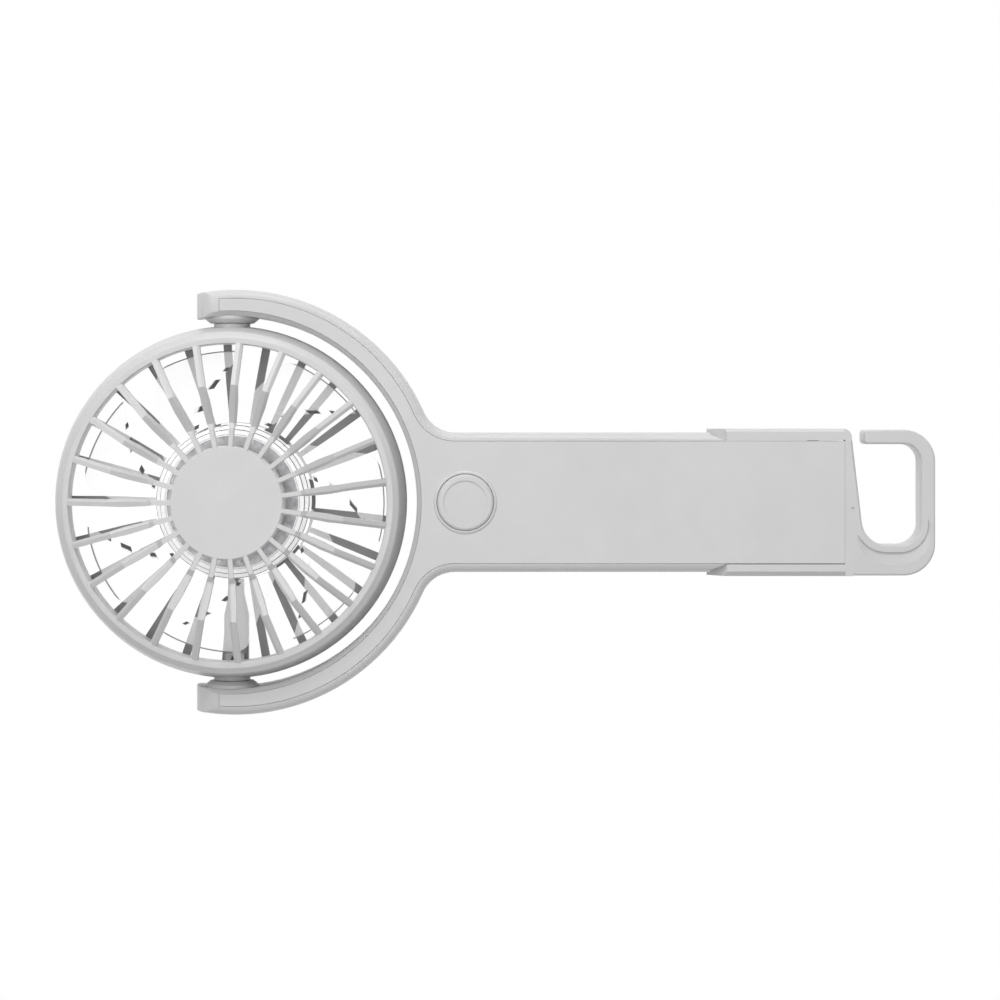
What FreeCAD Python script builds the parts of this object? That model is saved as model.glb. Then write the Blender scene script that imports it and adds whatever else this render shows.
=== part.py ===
# Handheld fan: a round fan head that tilts in a C-shaped yoke, a flat battery handle with a push button,
# and a folding stand with a hook at the handle's end.
#
# Building frame: the origin is where the head's own axis (Z) crosses its tilt axis (Y). +X runs along the
# handle towards the hook, +Z is the way the air blows. The finished pieces are shifted so that the
# assembly's origin is the centre of its underside.
import FreeCAD, Part
import Sketcher
import math
import os
from FreeCAD import Placement, Rotation, Vector

doc = FreeCAD.newDocument("handheld_fan")

# ---------------------------------------------------------------- driving dimensions, mm
DIMS = [
    # head
    ("head_radius", 45.2),          # widest ring of the housing
    ("head_wide_z", 3.0),           # height of that ring
    ("head_rear_radius", 44.7),     # outer radius where the wall meets the rear
    ("head_rear_z", -13.9),
    ("head_lip_radius", 43.42),     # outer radius of the housing's rounded front lip
    ("head_lip_z", 12.05),
    ("head_bore_radius", 43.5),     # inside of the housing wall
    ("rim_radius", 42.6),          # outside of the front grille's ring
    ("rim_seat_radius", 42.6),     # the housing's seat for it
    ("rim_inner_radius", 40.35),
    ("rim_front_z", 13.5),
    ("rim_depth", 6.7),
    ("hub_disc_radius", 14.55),
    ("hub_disc_z", 16.5),
    ("hub_disc_thick", 1.6),
    ("hub_skirt_z", 4.0),           # lower end of the skirt behind the disc
    ("spoke_count", 23),
    ("spoke_crest_radius", 29.9),
    ("spoke_crest_z", 19.4),
    ("spoke_width", 1.78),
    ("spoke_end_z", 12.9),
    ("rear_spoke_count", 25),
    ("rear_lowest_z", -15.4),
    ("rear_hub_radius", 20.6),
    ("duct_width", 6.4),
    # tilt pivot
    ("pivot_shaft_radius", 3.0),
    ("pivot_bore_radius", 3.05),
    ("pivot_barrel_radius", 4.6),
    ("pivot_flange_radius", 6.9),
    ("pivot_neck_radius", 4.7),
    ("neck_end", 45.85),
    ("bush_face", 45.98),
    ("shaft_end", 50.5),
    # yoke and handle
    ("body_half_thick", 7.5),
    ("yoke_inner_radius", 47.8),
    ("yoke_outer_radius", 52.4),
    ("yoke_centre_x", 1.4),
    ("yoke_centre_y", 2.0),
    ("arm_end_x", -8.85),
    ("arm_end_round", 5.8),
    ("handle_half_width", 17.86),
    ("handle_end_x", 157.2),
    ("neck_fillet", 9.0),
    ("edge_round", 2.1),
    ("inner_bevel", 1.1),
    ("cover_inset", 2.16),
    ("lid_end_x", -2.75),
    ("cover_thick", 1.2),
    ("cover_gap", 0.02),
    ("outer_wall", 2.9),
    ("inner_wall", 1.9),
    ("floor_thick", 1.5),
    ("recess_half_width", 15.7),
    # button
    ("button_x", 60.25),
    ("button_radius", 7.29),
    ("button_hole_radius", 7.36),
    ("button_top_z", 8.0),
    ("button_dish_radius", 5.6),
    # stand
    ("stand_pivot_x", 149.8),
    ("stand_half_width", 18.85),
    ("stand_arm_inner", 15.82),
    ("stand_block_x", 157.8),
    ("stand_lip_x", 157.24),
    ("hook_end_x", 180.3),
    ("hook_back_z", -2.5),
    ("hook_bar", 3.7),
    ("stand_pin_radius", 1.5),
    # impeller
    ("blade_count", 7),
    ("blade_tip_radius", 39.1),
    ("rotor_hub_radius", 19.9),
    ("rotor_hub_depth", 10.0),
    ("hub_opening_radius", 17.0),    # the motor's steel cup shows inside it
    ("blade_thick", 1.3),
    ("motor_shaft_radius", 1.5),
]
dims = doc.addObject("Spreadsheet::Sheet", "dims")
for row, (alias, value) in enumerate(DIMS, 1):
    dims.set("A%d" % row, alias)
    dims.set("B%d" % row, str(value))
    dims.setAlias("B%d" % row, alias)
doc.recompute()
VALUES = dict(DIMS)


class Q:
    """A size: its number now, and its formula in the sheet."""

    def __init__(self, value, text):
        self.v = float(value)
        self.t = text

    def __add__(self, o):
        o = q(o)
        return Q(self.v + o.v, "(%s + %s)" % (self.t, o.t))

    def __radd__(self, o):
        return q(o) + self

    def __sub__(self, o):
        o = q(o)
        return Q(self.v - o.v, "(%s - %s)" % (self.t, o.t))

    def __rsub__(self, o):
        return q(o) - self

    def __mul__(self, o):
        o = q(o)
        return Q(self.v * o.v, "(%s * %s)" % (self.t, o.t))

    def __rmul__(self, o):
        return q(o) * self

    def __truediv__(self, o):
        o = q(o)
        return Q(self.v / o.v, "(%s / %s)" % (self.t, o.t))

    def __neg__(self):
        return Q(-self.v, "(0 - %s)" % self.t)


def q(x):
    if isinstance(x, Q):
        return x
    return Q(x, "(%.6f)" % float(x))


def D(alias):
    return Q(VALUES[alias], "dims." + alias)


def root(x):
    x = q(x)
    return Q(math.sqrt(x.v), "sqrt(%s)" % x.t)


def bound(x):
    return isinstance(x, Q) and "dims." in x.t


def bind(obj, prop, x):
    x = q(x)
    if "." not in prop:
        setattr(obj, prop, x.v)
    if "dims." in x.t:
        obj.setExpression(prop, x.t)


# ---------------------------------------------------------------- sketch and feature helpers
def new_body(label):
    b = doc.addObject("PartDesign::Body", label)
    b.Label = label
    return b


def origin_feature(b, role):
    return [f for f in b.Origin.OriginFeatures if f.Role == role][0]


def new_sketch(b, role, name, off=0.0, across=0.0):
    """off: distance of the sketch from its plane, across: shift of the sketch's origin in the plane."""
    s = b.newObject("Sketcher::SketchObject", name)
    s.AttachmentSupport = [(origin_feature(b, role), "")]
    s.MapMode = "FlatFace"
    off, across = q(off), q(across)
    s.AttachmentOffset = Placement(Vector(across.v, 0, off.v), Rotation())
    if "dims." in across.t:
        s.setExpression("AttachmentOffset.Base.x", across.t)
    if "dims." in off.t:
        s.setExpression("AttachmentOffset.Base.z", off.t)
    return s


def fix_point(s, geo, pos, x, y):
    x, y = q(x), q(y)
    for kind, value, axis in (("DistanceX", x, -2), ("DistanceY", y, -1)):
        if abs(value.v) < 1e-9:
            s.addConstraint(Sketcher.Constraint("PointOnObject", geo, pos, axis))
        else:
            i = s.addConstraint(Sketcher.Constraint(kind, -1, 1, geo, pos, value.v))
            if "dims." in value.t:
                s.setExpression("Constraints[%d]" % i, value.t)


def circle(s, x, y, r):
    x, y, r = q(x), q(y), q(r)
    g = s.addGeometry(Part.Circle(Vector(x.v, y.v, 0), Vector(0, 0, 1), r.v), False)
    fix_point(s, g, 3, x, y)
    i = s.addConstraint(Sketcher.Constraint("Radius", g, r.v))
    if "dims." in r.t:
        s.setExpression("Constraints[%d]" % i, r.t)
    return g


def profile(s, points, arcs=None, closed=True):
    """An outline or, when it isn't closed, a path. arcs maps the number of the run that starts at a point to
    (radius, counter_clockwise)."""
    arcs = arcs or {}
    n = len(points)
    pts = [(q(x), q(y)) for x, y in points]
    ids = []
    runs = n if closed else n - 1
    for i in range(runs):
        (x0, y0), (x1, y1) = pts[i], pts[(i + 1) % n]
        if i in arcs:
            r, ccw = arcs[i]
            r = q(r)
            dx, dy = x1.v - x0.v, y1.v - y0.v
            length = math.hypot(dx, dy)
            h = math.sqrt(max(r.v * r.v - length * length / 4, 0.0))
            side = 1.0 if ccw else -1.0
            cx = (x0.v + x1.v) / 2 - dy / length * h * side
            cy = (y0.v + y1.v) / 2 + dx / length * h * side
            a0 = math.atan2(y0.v - cy, x0.v - cx)
            a1 = math.atan2(y1.v - cy, x1.v - cx)
            if not ccw:
                a0, a1 = a1, a0
            while a1 <= a0:
                a1 += 2 * math.pi
            g = s.addGeometry(Part.ArcOfCircle(Part.Circle(Vector(cx, cy, 0), Vector(0, 0, 1), r.v), a0, a1), False)
            ids.append((g, 1, 2) if ccw else (g, 2, 1))
            k = s.addConstraint(Sketcher.Constraint("Radius", g, r.v))
            if "dims." in r.t:
                s.setExpression("Constraints[%d]" % k, r.t)
        else:
            g = s.addGeometry(Part.LineSegment(Vector(x0.v, y0.v, 0), Vector(x1.v, y1.v, 0)), False)
            ids.append((g, 1, 2))
    for i in range(runs if closed else runs - 1):
        g, first, last = ids[i]
        g2, first2, _ = ids[(i + 1) % n]
        s.addConstraint(Sketcher.Constraint("Coincident", g, last, g2, first2))
    for i in range(runs):
        g, first, _ = ids[i]
        fix_point(s, g, first, *pts[i])
    if not closed:
        g, _, last = ids[-1]
        fix_point(s, g, last, *pts[-1])
    return ids


def rectangle(s, x0, y0, x1, y1):
    return profile(s, [(x0, y0), (x1, y0), (x1, y1), (x0, y1)])


def pad(b, s, length, name, reverse=False):
    f = b.newObject("PartDesign::Pad", name)
    f.Profile = s
    bind(f, "Length", length)
    f.Reversed = reverse
    b.Tip = f
    doc.recompute()
    return f


def cut(b, s, length, name, reverse=False):
    """A pocket that has to take something away."""
    before = b.Shape.Volume
    f = b.newObject("PartDesign::Pocket", name)
    f.Profile = s
    bind(f, "Length", length)
    f.Reversed = reverse
    b.Tip = f
    doc.recompute()
    if not b.Shape.Volume < before - 1e-4:
        raise RuntimeError("%s takes nothing away from %s" % (name, b.Label))
    return f


def turn(b, s, name, axis="V_Axis", angle=360.0):
    f = b.newObject("PartDesign::Revolution", name)
    f.Profile = s
    f.ReferenceAxis = (s, [axis])
    f.Angle = angle
    b.Tip = f
    doc.recompute()
    return f


def groove(b, s, name, axis="V_Axis", angle=360.0, reverse=False, middle=False):
    before = b.Shape.Volume
    f = b.newObject("PartDesign::Groove", name)
    f.Profile = s
    f.ReferenceAxis = (s, [axis])
    f.Angle = angle
    f.Midplane = middle
    f.Reversed = reverse
    b.Tip = f
    doc.recompute()
    if not b.Shape.Volume < before - 1e-4:
        raise RuntimeError("%s takes nothing away from %s" % (name, b.Label))
    return f


def polar(b, features, count, name, role="Z_Axis"):
    f = b.newObject("PartDesign::PolarPattern", name)
    f.Originals = features
    f.Axis = (origin_feature(b, role), [""])
    f.Angle = 360.0
    f.Occurrences = int(q(count).v)
    if bound(count):
        f.setExpression("Occurrences", count.t)
    b.Tip = f
    doc.recompute()
    return f


def loft(b, sketches, name):
    f = b.newObject("PartDesign::AdditiveLoft", name)
    f.Profile = sketches[0]
    f.Sections = sketches[1:]
    f.Ruled = True
    b.Tip = f
    doc.recompute()
    return f


def edge_names(shape, test):
    names = []
    for i, e in enumerate(shape.Edges, 1):
        try:
            mid = e.valueAt((e.FirstParameter + e.LastParameter) / 2)
        except Part.OCCError:
            continue
        if test(e, mid):
            names.append("Edge%d" % i)
    return names


def round_edges(b, feature, test, radius, name, bevel=False):
    names = edge_names(feature.Shape, test)
    if not names:
        raise RuntimeError("no edges for %s" % name)
    f = b.newObject("PartDesign::Chamfer" if bevel else "PartDesign::Fillet", name)
    f.Base = (feature, names)
    bind(f, "Size" if bevel else "Radius", radius)
    b.Tip = f
    doc.recompute()
    return f


# Part primitives for the small pieces
def prim(kind, name, pos=(0, 0, 0), rot=None, **sizes):
    o = doc.addObject("Part::" + kind, name)
    for prop, value in sizes.items():
        bind(o, prop, value)
    p = [q(c) for c in pos]
    o.Placement = Placement(Vector(p[0].v, p[1].v, p[2].v), rot or Rotation())
    for axis, c in zip("xyz", p):
        if "dims." in c.t:
            o.setExpression("Placement.Base." + axis, c.t)
    return o


def box(name, x0, y0, z0, x1, y1, z1):
    x0, y0, z0, x1, y1, z1 = (q(c) for c in (x0, y0, z0, x1, y1, z1))
    return prim("Box", name, (x0, y0, z0), Length=x1 - x0, Width=y1 - y0, Height=z1 - z0)


ALONG_Y = Rotation(Vector(1, 0, 0), -90)   # turns +Z to +Y
ALONG_X = Rotation(Vector(0, 1, 0), 90)    # turns +Z to +X


def rod(name, pos, radius, height, rot=None):
    return prim("Cylinder", name, pos, rot, Radius=radius, Height=height)


def boolean(kind, name, a, b):
    o = doc.addObject("Part::" + kind, name)
    o.Base, o.Tool = a, b
    return o


def minus(name, a, *tools):
    for i, t_ in enumerate(tools):
        a = boolean("Cut", "%s_cut%d" % (name, i) if i < len(tools) - 1 else name, a, t_)
    return a


def joined(name, parts):
    o = doc.addObject("Part::MultiFuse", name)
    o.Shapes = parts
    return o


def group(label, parts):
    o = doc.addObject("Part::Compound", label)
    o.Links = parts
    o.Label = label
    return o


NODES = []


def node(obj, label=None):
    if label:
        obj.Label = label
    NODES.append(obj)
    return obj


T = D("body_half_thick")


# ---------------------------------------------------------------- the outline of yoke and handle
def body_outline(s, o, oi, half, x_end, arm_x):
    """o: inset from the outer edge, oi: inset from the yoke's inner edge, half: half the handle's width."""
    o, oi, half, x_end, arm_x = (q(c) for c in (o, oi, half, x_end, arm_x))
    big = D("yoke_outer_radius") - o
    cx, cy = D("yoke_centre_x"), D("yoke_centre_y")
    small = D("neck_fillet") + o
    inner = D("yoke_inner_radius") + oi
    fy = half + small
    fx = cx + root((big + small) * (big + small) - (fy - cy) * (fy - cy))
    share = big / (big + small)
    bx = cx + (fx - cx) * share
    by = cy + (fy - cy) * share
    ay = cy + root(big * big - (arm_x - cx) * (arm_x - cx))
    gy = root(inner * inner - arm_x * arm_x)
    pts = [
        (arm_x, ay), (bx, by), (fx, half), (x_end, half), (x_end, -half), (fx, -half), (bx, -by), (arm_x, -ay),
        (arm_x, -gy), (inner, 0), (arm_x, gy),
    ]
    arcs = {0: (big, False), 1: (small, True), 5: (small, True), 6: (big, False), 8: (inner, True), 9: (inner, True)}
    profile(s, pts, arcs)
    return pts


# ---------------------------------------------------------------- rear casing: the tub of yoke and handle
tub = new_body("rear_casing")
s = new_sketch(tub, "XY_Plane", "tub_outline", -T)
body_outline(s, 0, 0, D("handle_half_width"), D("handle_end_x"), D("arm_end_x"))
f_pad = pad(tub, s, T * 2, "tub_block")



def outer_edge(e, m):
    """Edges between the front or back face and the outer side wall."""
    if abs(m.x - VALUES["handle_end_x"]) < 0.01 or abs(abs(m.z) - VALUES["body_half_thick"]) > 0.01:
        return False
    r_out = math.hypot(m.x - VALUES["yoke_centre_x"], abs(m.y) - VALUES["yoke_centre_y"])
    if abs(abs(m.y) - VALUES["handle_half_width"]) < 0.01 or abs(r_out - VALUES["yoke_outer_radius"]) < 0.01:
        return True
    half = VALUES["handle_half_width"] + VALUES["neck_fillet"]
    big = VALUES["yoke_outer_radius"] + VALUES["neck_fillet"]
    fx = VALUES["yoke_centre_x"] + math.sqrt(big ** 2 - (half - VALUES["yoke_centre_y"]) ** 2)
    return abs(math.hypot(m.x - fx, abs(m.y) - half) - VALUES["neck_fillet"]) < 0.01


def inner_edge(e, m):
    return (abs(math.hypot(m.x, m.y) - VALUES["yoke_inner_radius"]) < 0.01
            and abs(abs(m.z) - VALUES["body_half_thick"]) < 0.01)


f_round = round_edges(tub, f_pad, outer_edge, D("edge_round"), "outer_rounding")
f_bevel = round_edges(tub, f_round, inner_edge, D("inner_bevel"), "inner_bevel", bevel=True)

# the ends of the two arms are rounded about the tilt axis
s = new_sketch(tub, "XZ_Plane", "arm_end_sides", 60)
re_ = D("arm_end_round")
ax = D("arm_end_x")
profile(s, [(ax - 1, T + 1), (ax - 1, 0), (ax, 0), (ax, T - re_), (ax + re_, T), (ax + re_, T + 1)], {3: (re_, False)})
cut(tub, s, 120, "arm_end_front")
s = new_sketch(tub, "XZ_Plane", "arm_end_sides_back", 60)
profile(s, [(ax - 1, -T - 1), (ax + re_, -T - 1), (ax + re_, -T), (ax, re_ - T), (ax, 0), (ax - 1, 0)], {2: (re_, False)})
cut(tub, s, 120, "arm_end_back")

# recesses in the handle's sides for the stand's arms, turned about the stand's hinge
hw = D("handle_half_width")
rw = D("recess_half_width")
for side, tag in ((1, "upper"), (-1, "lower")):
    s = new_sketch(tub, "XY_Plane", "arm_recess_" + tag, 0, D("stand_pivot_x"))
    pts = [(0, rw * side), (-24.12, rw * side), (-27.7, 17.3 * side), (-27.7, (hw + 2) * side), (0, (hw + 2) * side)]
    profile(s, pts)
    groove(tub, s, "recess_" + tag)

# the back of the handle's end is a quarter round about the stand's hinge
px = D("stand_pivot_x")
s = new_sketch(tub, "XZ_Plane", "end_round", 20)
dx = D("handle_end_x") - px
profile(s, [(px, -T), (D("handle_end_x"), -root(T * T - dx * dx)), (D("handle_end_x") + 1, -root(T * T - dx * dx)),
            (D("handle_end_x") + 1, -T - 1), (px, -T - 1)], {0: (T, True)})
cut(tub, s, 40, "end_rounding")

# seat of the front cover
ci = D("cover_inset")
lid_x = D("lid_end_x")
ct = D("cover_thick")
s = new_sketch(tub, "XY_Plane", "cover_seat_outline", T)
body_outline(s, ci, D("inner_bevel"), rw, D("handle_end_x") + 1, lid_x)
cut(tub, s, ct, "cover_seat")

# the room inside
ft = D("floor_thick")
s = new_sketch(tub, "XY_Plane", "cavity_outline", T - ct)
body_outline(s, D("outer_wall"), D("inner_wall"), 14.0, D("handle_end_x") - 2.0, ax + 4.05)
cut(tub, s, T * 2 - ct - ft, "cavity")
s = new_sketch(tub, "XY_Plane", "cavity_handle", T - ct)
rectangle(s, 60, -15.0, 119, 15.0)
cut(tub, s, T * 2 - ct - ft, "cavity_wide")
# more room for the tilt pivots at the arm ends
for side, tag in ((1, "upper"), (-1, "lower")):
    s = new_sketch(tub, "XY_Plane", "pivot_room_" + tag, T - ct)
    big = D("yoke_outer_radius") - 1.5
    cx, cy = D("yoke_centre_x"), D("yoke_centre_y")
    inner = D("yoke_inner_radius") + D("inner_wall")
    x0, x1 = ax + 4.05, q(13.0)
    top0 = cy + root(big * big - (x0 - cx) * (x0 - cx))
    top1 = cy + root(big * big - (x1 - cx) * (x1 - cx))
    low0 = root(inner * inner - x0 * x0)
    low1 = root(inner * inner - x1 * x1)
    profile(s, [(x0, side * low0), (x1, side * low1), (x1, side * top1), (x0, side * top0)],
            {0: (inner, side < 0), 2: (big, side > 0)})
    cut(tub, s, 11.0, "pivot_pocket_" + tag)

# seats and holes for the pivot bushes
s = new_sketch(tub, "XZ_Plane", "bush_hole_outline", -46)
circle(s, 0, 0, D("pivot_barrel_radius"))
cut(tub, s, 4.5, "bush_hole_upper")
s = new_sketch(tub, "XZ_Plane", "bush_hole_outline_lower", 50.5)
circle(s, 0, 0, D("pivot_barrel_radius"))
cut(tub, s, 4.5, "bush_hole_lower")

# posts under the circuit board, and seats for the screws that hold the cover
FLOOR = -T + ft
BOARD_SCREWS = [(57.0, -8.8), (66.0, 8.8)]
CASE_SCREWS = [(75.0, 12.0), (75.0, -12.0), (142.5, 10.5), (142.5, -10.5)]
s = new_sketch(tub, "XY_Plane", "board_posts", FLOOR - 0.2)
for x, y in BOARD_SCREWS:
    circle(s, x, y, 1.9)
pad(tub, s, 0.8 - FLOOR + 0.2, "board_post_pads")
s = new_sketch(tub, "XY_Plane", "board_post_holes", 0.8)
for x, y in BOARD_SCREWS:
    circle(s, x, y, 0.81)
cut(tub, s, 5.0, "board_post_drill")
s = new_sketch(tub, "XY_Plane", "screw_posts", FLOOR - 0.2)
for x, y in CASE_SCREWS:
    circle(s, x, y, 3.1)
pad(tub, s, -3.5 - FLOOR + 0.2, "screw_post_pads")
s = new_sketch(tub, "XY_Plane", "screw_seats", -T)
for x, y in CASE_SCREWS:
    circle(s, x, y, 2.1)
cut(tub, s, 2.6, "screw_seat_bores", reverse=True)
s = new_sketch(tub, "XY_Plane", "screw_holes", -T)
for x, y in CASE_SCREWS:
    circle(s, x, y, 1.1)
cut(tub, s, 4.2, "screw_hole_bores", reverse=True)

# the stand's hinge: a boss inside each side wall, and the pin's hole
for side, tag in ((1, "upper"), (-1, "lower")):
    s = new_sketch(tub, "XZ_Plane", "hinge_boss_" + tag, -14.2 * side)
    circle(s, px, 0, 3.6)
    pad(tub, s, 1.9, "hinge_boss_pad_" + tag, reverse=side < 0)
    s = new_sketch(tub, "XZ_Plane", "hinge_hole_" + tag, -12.0 if side > 0 else 16.0)
    circle(s, px, 0, D("stand_pin_radius") + 0.05)
    cut(tub, s, 4.0, "hinge_hole_bore_" + tag)

# mouth of the charging socket in the side wall
USB_X, USB_Z = 64.5, -0.8


def stadium(s, x, z, width, height):
    r = q(height) / 2
    half = q(width) / 2 - r
    x, z = q(x), q(z)
    profile(s, [(x - half, z - r), (x + half, z - r), (x + half, z + r), (x - half, z + r)],
            {1: (r * 1.002, True), 3: (r * 1.002, True)})


s = new_sketch(tub, "XZ_Plane", "charge_mouth", 19)
stadium(s, USB_X, USB_Z, 9.5, 3.7)
cut(tub, s, 4.6, "charge_mouth_cut")
node(tub)

# ---------------------------------------------------------------- front cover: the flat lid
cover = new_body("front_cover")
gap = D("cover_gap")
s = new_sketch(cover, "XY_Plane", "cover_outline", T - ct)
body_outline(s, ci + gap, D("inner_bevel") + gap, rw - gap, D("handle_end_x"), lid_x + gap)
f_plate = pad(cover, s, ct, "cover_plate")
f_edge = round_edges(cover, f_plate,
                     lambda e, m: abs(m.z - VALUES["body_half_thick"]) < 0.01 and m.x < VALUES["handle_end_x"] - 0.1,
                     0.18, "cover_edge", bevel=True)
s = new_sketch(cover, "XY_Plane", "button_hole_outline", T)
circle(s, D("button_x"), 0, D("button_hole_radius"))
f_hole = cut(cover, s, ct, "button_hole")
round_edges(cover, f_hole,
            lambda e, m: abs(m.z - VALUES["body_half_thick"]) < 0.01
            and abs(math.hypot(m.x - VALUES["button_x"], m.y) - VALUES["button_hole_radius"]) < 0.01,
            0.12, "button_hole_edge", bevel=True)
s = new_sketch(cover, "XZ_Plane", "button_collar_section", 0, D("button_x"))
bh = D("button_hole_radius")
profile(s, [(bh, T - 0.6), (9.0, T - 0.6), (9.0, T), (bh + 0.8, T), (bh + 0.15, T + 0.3), (bh, T + 0.22)], {3: (0.9, True)})
turn(cover, s, "button_collar")
s = new_sketch(cover, "XY_Plane", "button_guide_outline", T - ct)
circle(s, D("button_x"), 0, 10.0)
circle(s, D("button_x"), 0, 9.0)
pad(cover, s, 1.8, "button_guide", reverse=True)
s = new_sketch(cover, "XY_Plane", "cover_posts", T - ct)
for x, y in CASE_SCREWS:
    circle(s, x, y, 2.3)
pad(cover, s, T - ct + 3.5, "cover_post_pads", reverse=True)
s = new_sketch(cover, "XY_Plane", "cover_post_holes", -3.5)
for x, y in CASE_SCREWS:
    circle(s, x, y, 1.02)
cut(cover, s, 7.5, "cover_post_drill", reverse=True)
for k, deg in enumerate((38.0, 70.0, -38.0, -70.0)):
    a = math.radians(deg)
    corners = []
    for rr, tt in ((50.15, -2.5), (51.35, -2.5), (51.35, 2.5), (50.15, 2.5)):
        corners.append((rr * math.cos(a) - tt * math.sin(a), rr * math.sin(a) + tt * math.cos(a)))
    s = new_sketch(cover, "XY_Plane", "cover_lug_outline_%d" % k, T - ct)
    profile(s, corners)
    pad(cover, s, 2.6, "cover_lug_%d" % k, reverse=True)
node(cover)


# ---------------------------------------------------------------- bushes of the tilt pivot
def bush(side, tag):
    b = new_body("bush_" + tag)
    face, wall = D("bush_face") * side, D("yoke_inner_radius") * side
    bore = D("pivot_bore_radius")
    s = new_sketch(b, "XY_Plane", "flange_" + tag)
    profile(s, [(bore, face), (5.6, face), (D("pivot_flange_radius"), face + 1.0 * side),
                (D("pivot_flange_radius"), wall + 1.0 * side), (bore, wall + 1.0 * side)])
    turn(b, s, "flange_turn_" + tag)
    s = new_sketch(b, "XY_Plane", "wall_" + tag, 9)
    x = 9.0
    y = root(D("yoke_inner_radius") * D("yoke_inner_radius") - x * x)
    profile(s, [(x, side * y), (-x, side * y), (-x, side * 52.0), (x, side * 52.0)],
            {0: (D("yoke_inner_radius"), side > 0)})
    cut(b, s, 18, "wall_cut_" + tag)
    s = new_sketch(b, "XY_Plane", "barrel_" + tag)
    profile(s, [(bore, face + 0.5 * side), (D("pivot_barrel_radius"), face + 0.5 * side),
                (D("pivot_barrel_radius"), side * 49.6), (bore, side * 49.6)])
    turn(b, s, "barrel_turn_" + tag)
    return b


node(group("pivot_bushes", [bush(1, "upper"), bush(-1, "lower")]))

# ---------------------------------------------------------------- circuit board and what is on it
board = new_body("main_board")
s = new_sketch(board, "XY_Plane", "board_outline", 0.8)
rectangle(s, 50.5, -11, 70, 11)
for x, y in BOARD_SCREWS:
    circle(s, x, y, 0.95)
pad(board, s, 1.0, "board_plate")
node(board)

node(group("board_components", [
    box("motor_connector", 49.75, -7.9, -1.2, 54.0, -3.4, 0.8),
    box("battery_connector", 66.5, -5.0, -1.6, 71.5, -0.5, 0.8),
    box("controller_chip", 64.4, -6.2, 1.8, 68.4, -2.2, 2.7),
    box("charger_chip", 64.6, 0.6, 1.8, 67.6, 3.6, 2.7),
    box("coil", 51.6, 2.0, 1.8, 55.8, 6.2, 4.0),
    box("capacitor_a", 52.2, -2.4, 1.8, 53.8, -1.2, 2.8),
    box("capacitor_b", 52.2, -0.4, 1.8, 53.8, 0.8, 2.8),
    box("capacitor_c", 58.6, 6.4, 1.8, 60.2, 7.6, 2.8),
    box("capacitor_d", 61.2, -7.6, 1.8, 62.8, -6.4, 2.8),
]))
bx = D("button_x")
node(minus("tact_switch", box("switch_block", bx - 3.0, -3.0, 1.8, bx + 3.0, 3.0, 4.6),
           rod("switch_well", (bx, 0, 3.4), 1.75, 2.0)), "tact_switch")

usb = new_body("socket_shell")
s = new_sketch(usb, "XZ_Plane", "shell_outline", 17.4)
stadium(s, USB_X, USB_Z, 8.94, 3.2)
pad(usb, s, 7.3, "shell_block", reverse=True)
s = new_sketch(usb, "XZ_Plane", "shell_inside", 17.4)
stadium(s, USB_X, USB_Z, 8.34, 2.6)
cut(usb, s, 6.3, "shell_hollow")
node(group("usb_c_socket", [usb, box("socket_tongue", USB_X - 3.3, -16.6, USB_Z - 0.35, USB_X + 3.3, -11.1, USB_Z + 0.35)]))

cell = new_body("battery_cell")
s = new_sketch(cell, "XY_Plane", "cell_outline", -5.6)
rectangle(s, 79, -13, 139, 13)
f_cell = pad(cell, s, 9.0, "cell_block")
round_edges(cell, f_cell, lambda e, m: abs(abs(m.y) - 13) < 0.01 and abs(m.x - 109) < 0.01, 2.5, "cell_round")
node(cell)
node(group("battery_foam_pad", [box("foam", 84, -10, -6.0, 134, 10, -5.6)]))
node(group("battery_leads", [rod("battery_lead_a", (71.5, -3.6, -0.4), 0.5, 7.5, ALONG_X),
                             rod("battery_lead_b", (71.5, -1.9, -0.4), 0.5, 7.5, ALONG_X)]))


def pipe(b, spine, prof, name):
    f = b.newObject("PartDesign::AdditivePipe", name)
    f.Profile = prof
    f.Spine = spine
    f.Transition = 2
    b.Tip = f
    doc.recompute()
    return f


LEAD_R = 50.9
a0, a1 = math.radians(-9), math.radians(-72)
x1, y1 = LEAD_R * math.cos(a1), LEAD_R * math.sin(a1)
run = (x1 - 4.6) / 0.95106
kx, ky = 4.6, y1 - 0.30902 * run
lead = new_body("motor_lead_handle")
s_path = new_sketch(lead, "XY_Plane", "lead_path")
profile(s_path, [
    (LEAD_R * math.cos(a0), LEAD_R * math.sin(a0)), (x1, y1),
    (kx + 0.95106 * 0.634, ky + 0.30902 * 0.634), (kx - 0.634, ky), (1.3, ky), (0.0, ky + 1.3), (0.0, -50.55)],
    {0: (LEAD_R, False), 2: (4.0, False), 4: (1.3, False)}, closed=False)
s_ring = new_sketch(lead, "XZ_Plane", "lead_section", -LEAD_R * math.sin(a0))
circle(s_ring, LEAD_R * math.cos(a0), 0, 0.55)
pipe(lead, s_path, s_ring, "lead_pipe")
node(lead)


def cross(name, x, y, z, size, depth):
    """Recess for a screwdriver, seen from below."""
    return joined(name, [box(name + "_a", x - size, y - 0.25, z - 0.1, x + size, y + 0.25, z + depth),
                         box(name + "_b", x - 0.25, y - size, z - 0.1, x + 0.25, y + size, z + depth)])


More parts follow.
